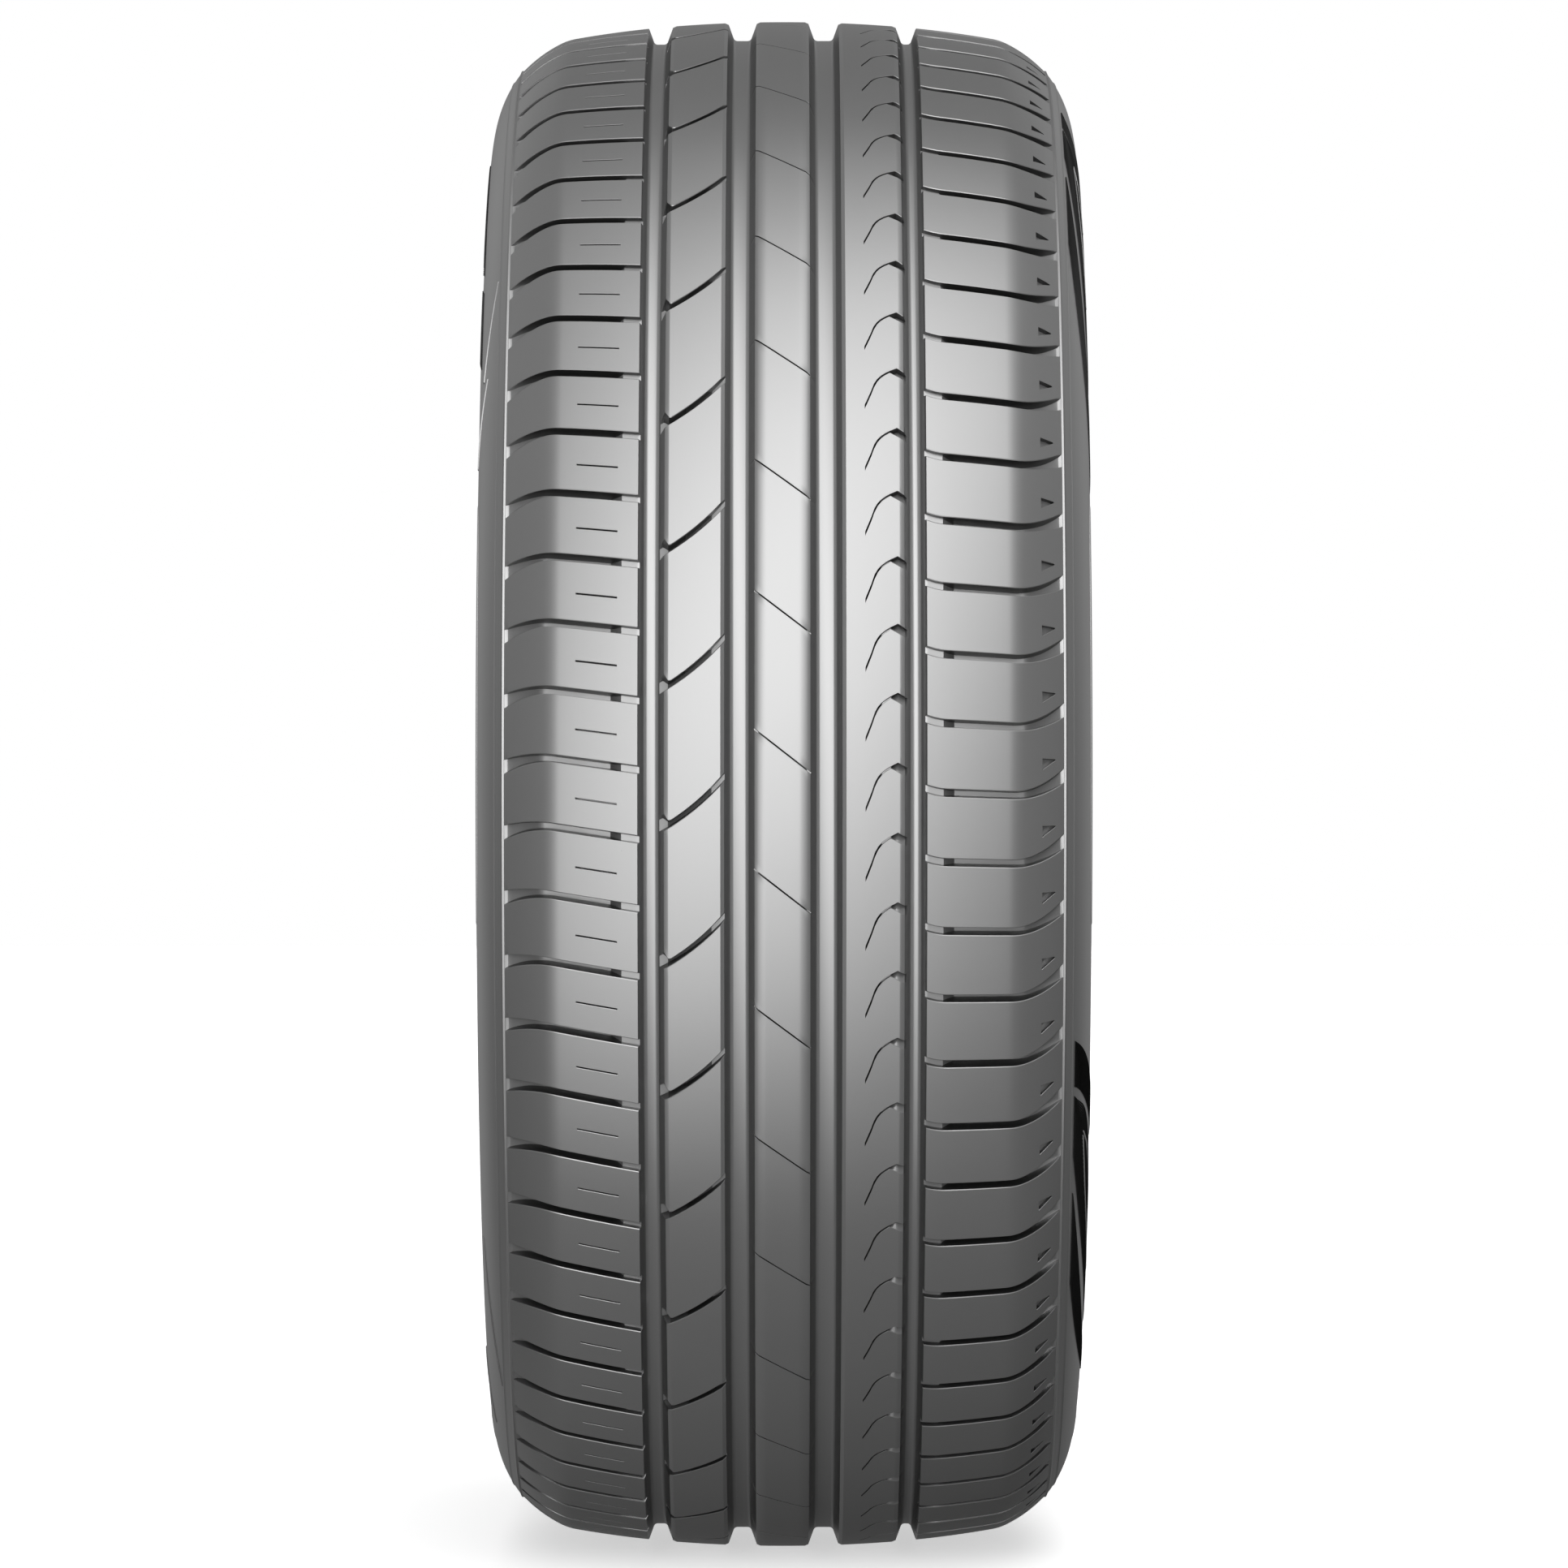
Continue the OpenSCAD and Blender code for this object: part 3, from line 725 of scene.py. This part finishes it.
def rubber(name, shade, roughness, ior=2.4, painted_wall_shade=None):
    """A rubber finish with the mould's grain, and a painted shade on walls if one is given."""
    material = bpy.data.materials.new(name)
    material.use_nodes = True
    tree = material.node_tree
    shader = tree.nodes["Principled BSDF"]
    shader.inputs["IOR"].default_value = ior
    look = tree.nodes.new("ShaderNodeGroup")
    look.node_tree = grain
    look.inputs["Colour"].default_value = (shade, shade, shade, 1)
    look.inputs["Mottling"].default_value = mottling
    look.inputs["Base Roughness"].default_value = roughness
    look.inputs["Grain Size"].default_value = grain_size
    if painted_wall_shade is not None:
        # The mask paints shade onto the walls of the cuts.
        tree.links.new(facing_out(tree, painted_wall_shade, shade), look.inputs["Colour"])
    relief = node(tree, "ShaderNodeBump", Strength=1.0, Distance=grain_relief * MM)
    tree.links.new(look.outputs["Colour"], shader.inputs["Base Color"])
    tree.links.new(look.outputs["Roughness"], shader.inputs["Roughness"])
    tree.links.new(look.outputs["Height"], relief.inputs["Height"])
    tree.links.new(relief.outputs["Normal"], shader.inputs["Normal"])
    return material


def finish_with(pieces, material):
    for piece in pieces:
        piece.data.materials.clear()
        piece.data.materials.append(material)
    print(material.name, "on", len(pieces), "pieces")


# The tread rubber gets a painted shade of 0.01 on the walls of its cuts.
tread_rubber = rubber("tread rubber", 0.14, 0.28, painted_wall_shade=0.01)
sidewall_rubber = rubber("sidewall rubber", 0.14, 0.32)
# The ridged panels are painted near black: painted shade for light trapped in their fine ridges.
ridged_painted_shade_rubber = rubber("ridged rubber with painted shade", 0.012, 0.45, ior=1.2)
# A dull, nearly black copy of the rubber: painted shade for the deep cuts.
painted_shade_rubber = rubber("painted shade rubber", 0.03, 0.5, ior=1.5)
ribs = [inside_shoulder, second, middle, fourth, outside_shoulder]
finish_with(ribs, tread_rubber)
finish_with([casing] + plain_patches, sidewall_rubber)
finish_with(dark_patches, ridged_painted_shade_rubber)

# %% [markdown]
# The bottoms of the slots and sipes get the painted shade rubber face by face, a painted shade for
# the little light that reaches them. A face counts as deep when its middle lies further below the
# crown than a limit, which is different for each rib.

# %% Painted shade deep in the cuts
def paint_shade_in_cuts(piece, low, high, below):
    """Give the painted shade rubber to the faces of a rib that lie deep inside its cuts."""
    mesh = piece.data
    mesh.materials.append(painted_shade_rubber)
    middles = np.empty(len(mesh.polygons) * 3)
    mesh.polygons.foreach_get("center", middles)
    x, y, z = middles.reshape(-1, 3).T / MM
    # Faces this deep get the painted shade.
    deep = (crown(y) - np.hypot(x, z) > below) & (y > low) & (y < high)
    mesh.polygons.foreach_set("material_index", deep.astype(np.int32))
    print(piece.name, "has", int(deep.sum()), "faces in painted shade rubber")


for piece, (low, high), below in (
        (second, second_rib, 2.2), (middle, middle_rib, 1.0), (fourth, fourth_rib, 2.6)):
    paint_shade_in_cuts(piece, low, high, below)

# %% [markdown]
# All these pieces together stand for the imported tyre, which stays in the model for its physics
# and is hidden from view.

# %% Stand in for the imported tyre
dressed = ribs + [casing] + plain_patches + dark_patches
for piece in dressed:
    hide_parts("tyre")
print(len(dressed), "pieces stand for the tyre")

# %% [markdown]
# The photograph's tyre floats on pure white. So the floor looks white to the camera, yet it is a
# real surface that takes the shadow of the tyre. Other rays pass through it, as over a glass
# table in a studio, and the dark room below keeps the lower half of the tread deep.

# %% Floor
def camera_only(tree, output, seen, unseen):
    """Mix two shaders so that the first is what the camera sees directly."""
    path = tree.nodes.new("ShaderNodeLightPath")
    mix = tree.nodes.new("ShaderNodeMixShader")
    tree.links.new(path.outputs["Is Camera Ray"], mix.inputs["Fac"])
    tree.links.new(unseen.outputs[0], mix.inputs[1])
    tree.links.new(seen.outputs[0], mix.inputs[2])
    tree.links.new(mix.outputs[0], output.inputs["Surface"])


floor_level, floor_reach = tyre_low.z, 14.0
floor_mesh = bpy.data.meshes.new("floor")
corners = [(-floor_reach, -floor_reach), (floor_reach, -floor_reach),
           (floor_reach, floor_reach), (-floor_reach, floor_reach)]
floor_mesh.from_pydata([(x, y, floor_level) for x, y in corners], [], [(0, 1, 2, 3)])
floor = bpy.data.objects.new("floor", floor_mesh)
bpy.context.scene.collection.objects.link(floor)
paper = bpy.data.materials.new("white floor")
paper.use_nodes = True
tree = paper.node_tree
tree.nodes.remove(tree.nodes["Principled BSDF"])
glow = node(tree, "ShaderNodeEmission", Color=(1, 1, 1, 1), Strength=0.55)
shadowed = node(tree, "ShaderNodeBsdfDiffuse", Color=(0.9, 0.9, 0.9, 1))
bright = tree.nodes.new("ShaderNodeAddShader")
tree.links.new(glow.outputs[0], bright.inputs[0])
tree.links.new(shadowed.outputs[0], bright.inputs[1])
camera_only(tree, tree.nodes["Material Output"], bright,
            tree.nodes.new("ShaderNodeBsdfTransparent"))
floor_mesh.materials.append(paper)
print("floor at", round(floor_level, 4), "m")

# %% [markdown]
# A tyre shows its shape through one long soft reflection. In a studio it comes from a tall and
# narrow softbox that arches from below the lens to over the tyre and leans a little to the right
# at its top. Such an arch is easier to paint in the world than to build from lamps: the angle
# upwards picks its strength from a ramp, and the angle sideways fades it with a bell curve.

# %% World with an arched softbox
world = bpy.data.worlds.new("studio")
world.use_nodes = True
bpy.context.scene.world = world
sky = world.node_tree
sky.nodes.clear()
direction = sky.nodes.new("ShaderNodeTexCoord").outputs["Generated"]


def on_sky(operation, *values):
    return calculate(sky, operation, *values)


parts = sky.nodes.new("ShaderNodeSeparateXYZ")
sky.links.new(direction, parts.inputs[0])
upward = on_sky("ARCTAN2", parts.outputs["Z"], parts.outputs["X"])
sideways = on_sky("ARCSINE", parts.outputs["Y"])

arch_low, arch_high, arch_peak = math.radians(-65), math.radians(115), 5.0
arch_strengths = (0.1, 1.2, 2.8, 3.9, 4.6, 4.6, 4.1, 2.8, 1.0, 0.0)
ramp = sky.nodes.new("ShaderNodeValToRGB")
ramp.color_ramp.elements[0].color = (arch_strengths[0] / arch_peak,) * 3 + (1,)
ramp.color_ramp.elements[1].color = (arch_strengths[-1] / arch_peak,) * 3 + (1,)
for k, strength in enumerate(arch_strengths[1:-1], 1):
    stop = ramp.color_ramp.elements.new(k / (len(arch_strengths) - 1))
    stop.color = (strength / arch_peak,) * 3 + (1,)
height = on_sky("DIVIDE", on_sky("SUBTRACT", upward, arch_low), arch_high - arch_low)
sky.links.new(height, ramp.inputs["Fac"])
arch_middle, arch_lean, arch_spread = math.radians(-4), 0.14, math.radians(14)
offset = on_sky("SUBTRACT", sideways, on_sky("MULTIPLY_ADD", upward, arch_lean, arch_middle))
squared = on_sky("POWER", on_sky("DIVIDE", offset, arch_spread), 2)
bell = on_sky("EXPONENT", on_sky("MULTIPLY", squared, -0.5))
radiance = on_sky("MULTIPLY", on_sky("MULTIPLY", ramp.outputs["Color"], bell), arch_peak)
print("arched softbox of strength", arch_peak)

# %% [markdown]
# Four weak round lights fill in where the arch can't reach. Two stand at the sides, a little
# behind the tyre, for the shoulders and sidewalls. Two more stand far behind and low down, and
# draw the thin bright rim at its top and bottom. The rest of the room is dim, and below the floor
# it is nearly dark.

# %% Fill lights in the world
def round_glow(towards, spread, strength):
    """A soft round light in a direction."""
    facing = sky.nodes.new("ShaderNodeVectorMath")
    facing.operation = "DOT_PRODUCT"
    sky.links.new(direction, facing.inputs[0])
    facing.inputs[1].default_value = Vector(towards).normalized()
    miss = on_sky("SUBTRACT", facing.outputs["Value"], 1)
    fade = on_sky("DIVIDE", miss, math.radians(spread) ** 2)
    return on_sky("MULTIPLY", on_sky("EXPONENT", fade), strength)


side_light, rear_light = (115, 28, 22, 0.22), (150, 9, 16, 0.5)
for side in (-1, 1):
    for azimuth, elevation, spread, strength in (side_light, rear_light):
        a, e = math.radians(azimuth) * side, math.radians(elevation)
        towards = (math.cos(e) * math.cos(a), math.cos(e) * math.sin(a), math.sin(e))
        radiance = on_sky("ADD", radiance, round_glow(towards, spread, strength))
room = node(sky, "ShaderNodeMapRange", From_Min=-0.4, From_Max=0.2, To_Min=0.02, To_Max=0.04)
sky.links.new(parts.outputs["Z"], room.inputs["Value"])
radiance = on_sky("ADD", radiance, room.outputs["Result"])
white = node(sky, "ShaderNodeBackground", Color=(1, 1, 1, 1), Strength=1.0)
lit = node(sky, "ShaderNodeBackground", Color=(1, 1, 1, 1))
sky.links.new(radiance, lit.inputs["Strength"])
camera_only(sky, sky.nodes.new("ShaderNodeOutputWorld"), white, lit)
print("world has", len(sky.nodes), "nodes")

# %% [markdown]
# One real lamp hangs over the set. It is large and weak, and gives the floor its shadow.

# %% Overhead lamp
lamp = bpy.data.lights.new("overhead lamp", "AREA")
lamp.shape = "DISK"
lamp.size = 2.5
lamp_radiance = 0.1
lamp.energy = lamp_radiance * math.pi * math.pi * (lamp.size / 2) ** 2
overhead = bpy.data.objects.new("overhead lamp", lamp)
overhead.location = (0.3, 0, 3.2)
overhead.visible_camera = False
bpy.context.scene.collection.objects.link(overhead)
print("overhead lamp of", round(lamp.energy, 1), "W")

# %% Finish
bpy.context.scene.view_settings.view_transform = "Standard"
